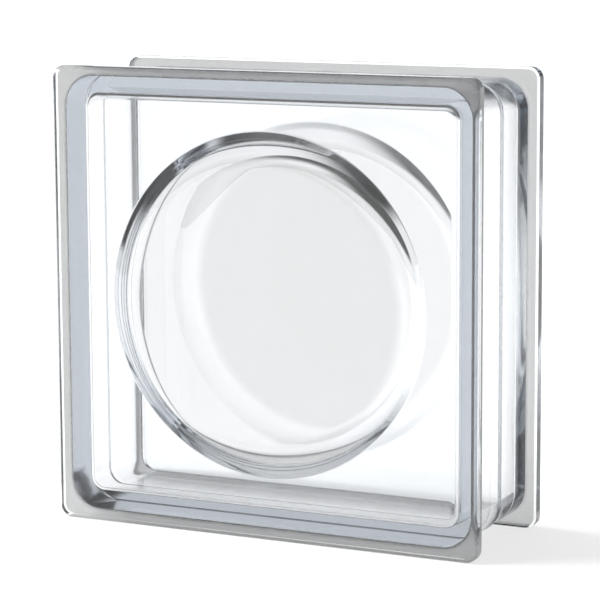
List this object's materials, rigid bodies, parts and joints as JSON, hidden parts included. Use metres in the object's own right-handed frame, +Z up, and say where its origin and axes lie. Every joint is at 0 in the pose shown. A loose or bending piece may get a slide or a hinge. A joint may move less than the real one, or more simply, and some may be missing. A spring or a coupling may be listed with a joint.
{
  "type": "glass block",
  "caption": "Square hollow glass block of pressed halves fused together, with a round recess inside each clear face and a mortar channel around its edges.",
  "frame": {"origin": "middle of the bottom edge, on the floor that the block stands on", "axes": "+Z up; +Y from the front face through to the back face; +X along the bottom edge"},
  "size_m": [0.24, 0.088, 0.24],
  "materials": {
    "glass": "clear, fire-polished"
  },
  "bodies": {
    "root": {"front_half": "glass", "back_half": "glass"}
  },
  "joints": []
}
